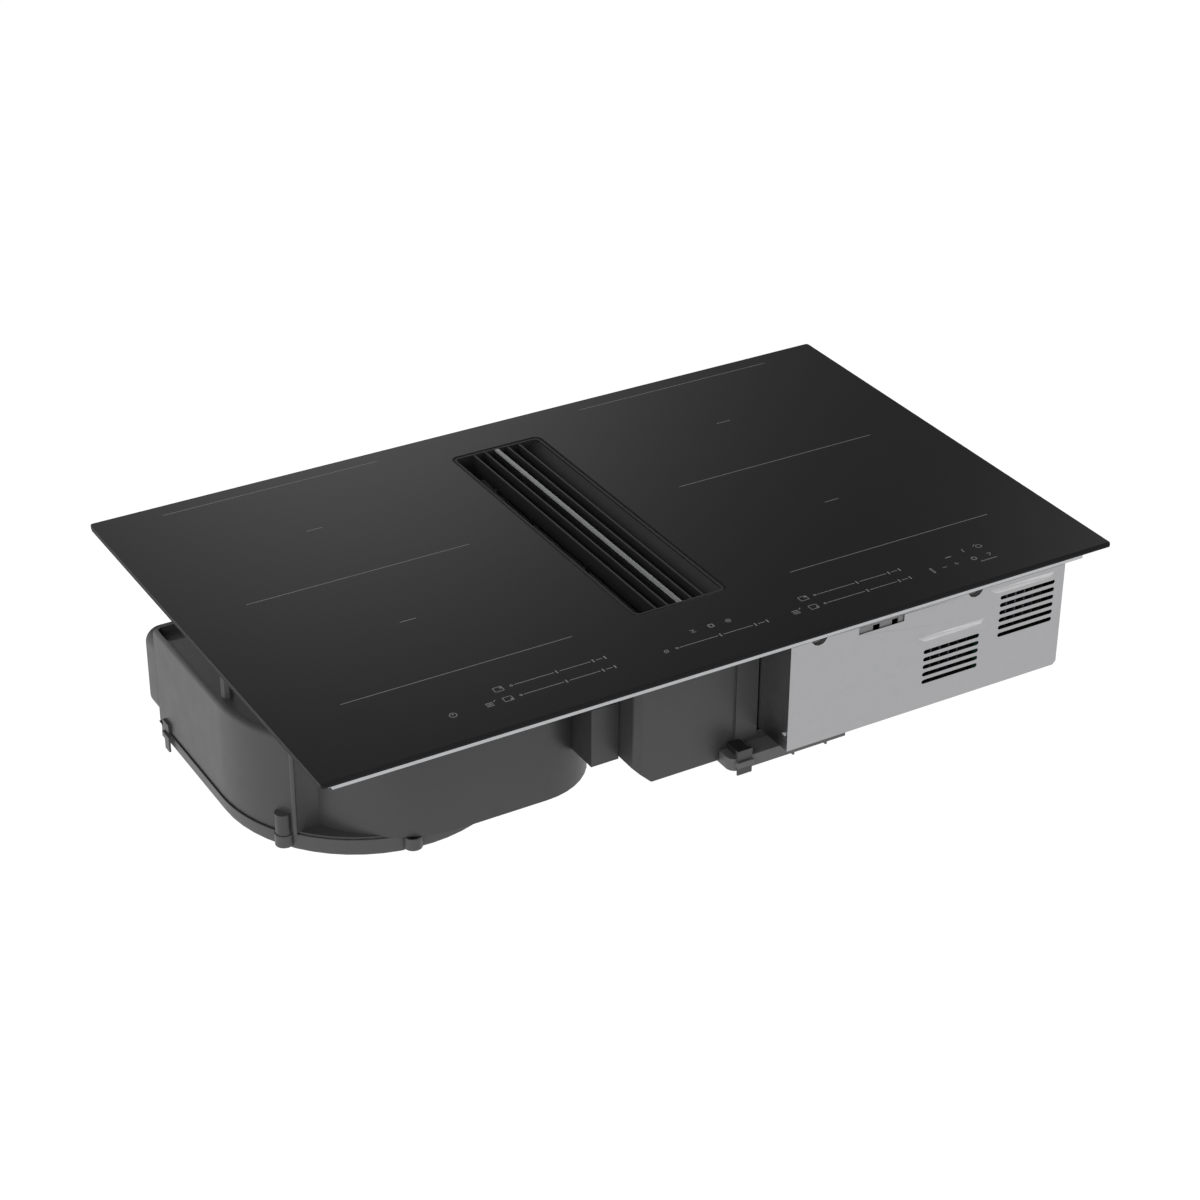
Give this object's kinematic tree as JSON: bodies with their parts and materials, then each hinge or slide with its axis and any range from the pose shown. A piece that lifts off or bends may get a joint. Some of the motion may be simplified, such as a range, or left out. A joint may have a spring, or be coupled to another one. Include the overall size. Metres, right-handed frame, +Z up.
{
  "type": "downdraft induction cooktop",
  "caption": "Frameless black glass induction cooktop with a central downdraft inlet grille, a radial fan housing and duct under its left half and a louvred electronics box under its right.",
  "frame": {"origin": "centre of the coil tray in plan, in the plane of the worktop that carries it (underside of the seal)", "axes": "+Z up out of the worktop, +X to the right along the front edge, +Y to the back"},
  "size_m": [0.83, 0.5168, 0.2096],
  "materials": {
    "glass_black": "black glass-ceramic, polished, with fine grey marks",
    "seal": "matt black foam strip",
    "grille_black": "satin black paint",
    "bar_silver": "brushed, bright",
    "filter_steel": "brushed stainless sheet",
    "tray_steel": "bright zinc-coated sheet",
    "box_steel": "pale grey zinc-coated sheet",
    "black_plastic": "moulded, fine matt texture",
    "fan_plastic": "moulded, satin",
    "motor_steel": "machined steel",
    "copper": "enamelled copper wire",
    "ferrite": "sheet carrier with dark ferrite bars",
    "insulation": "mica sheet",
    "circuit_board": "green board, satin",
    "heat_sink": "extruded, plain"
  },
  "bodies": {
    "hob": {"glass_plate": "glass_black", "worktop_seal": "seal", "inlet_collar": "grille_black", "coil_tray": "tray_steel", "ferrite_carrier_front_left": "ferrite", "coil_front_left": "copper", "ferrite_carrier_rear_left": "ferrite", "coil_rear_left": "copper", "mica_sheet_left": "insulation", "ferrite_carrier_front_right": "ferrite", "coil_front_right": "copper", "ferrite_carrier_rear_right": "ferrite", "coil_rear_right": "copper", "mica_sheet_right": "insulation", "board_holder": "black_plastic", "touch_board": "circuit_board", "intake_duct": "black_plastic", "tray_clip": "black_plastic", "fan_housing": "black_plastic", "inlet_ring": "black_plastic", "scroll_wall": "black_plastic", "outlet_spigot": "black_plastic", "lower_cover": "black_plastic", "motor_stator": "copper", "motor_base": "fan_plastic", "motor_bearing": "motor_steel", "electronics_box": "box_steel", "cable_gland": "black_plastic", "mains_board": "circuit_board", "terminal_block": "black_plastic", "power_board_left": "circuit_board", "power_board_right": "circuit_board", "heat_sink_left": "heat_sink", "heat_sink_right": "heat_sink", "blower_case_left": "fan_plastic", "blower_case_right": "fan_plastic"},
    "filter": {"filter_frame": "filter_steel", "filter_baffles": "filter_steel"},
    "grille": {"inlet_grille": "grille_black", "grille_centre_bar": "bar_silver"},
    "spill_tray": {"spill_tray": "black_plastic"},
    "impeller": {"impeller": "fan_plastic", "motor_rotor": "motor_steel", "motor_shaft": "motor_steel"},
    "blower_left": {"blower_wheel_left": "fan_plastic"},
    "blower_right": {"blower_wheel_right": "fan_plastic"}
  },
  "joints": [
    {"name": "filter_lift", "type": "slide", "parent": "hob", "child": "filter", "axis": [0, 0, 1], "range_m": [0, 0.15]},
    {"name": "grille_lift", "type": "slide", "parent": "filter", "child": "grille", "axis": [0, 0, 1], "range_m": [0, 0.12]},
    {"name": "impeller_spin", "type": "hinge", "parent": "hob", "child": "impeller", "pos_m": [-0.227, 0.01, -0.15], "axis": [0, 0, 1], "continuous": true},
    {"name": "blower_left_spin", "type": "hinge", "parent": "hob", "child": "blower_left", "pos_m": [0.246, 0.11, -0.09], "axis": [0, 0, 1], "continuous": true},
    {"name": "blower_right_spin", "type": "hinge", "parent": "hob", "child": "blower_right", "pos_m": [0.333, 0.11, -0.08], "axis": [0, 0, 1], "continuous": true},
    {"name": "spill_tray_drop", "type": "slide", "parent": "hob", "child": "spill_tray", "axis": [0, 0, -1], "range_m": [0, 0.06]}
  ]
}
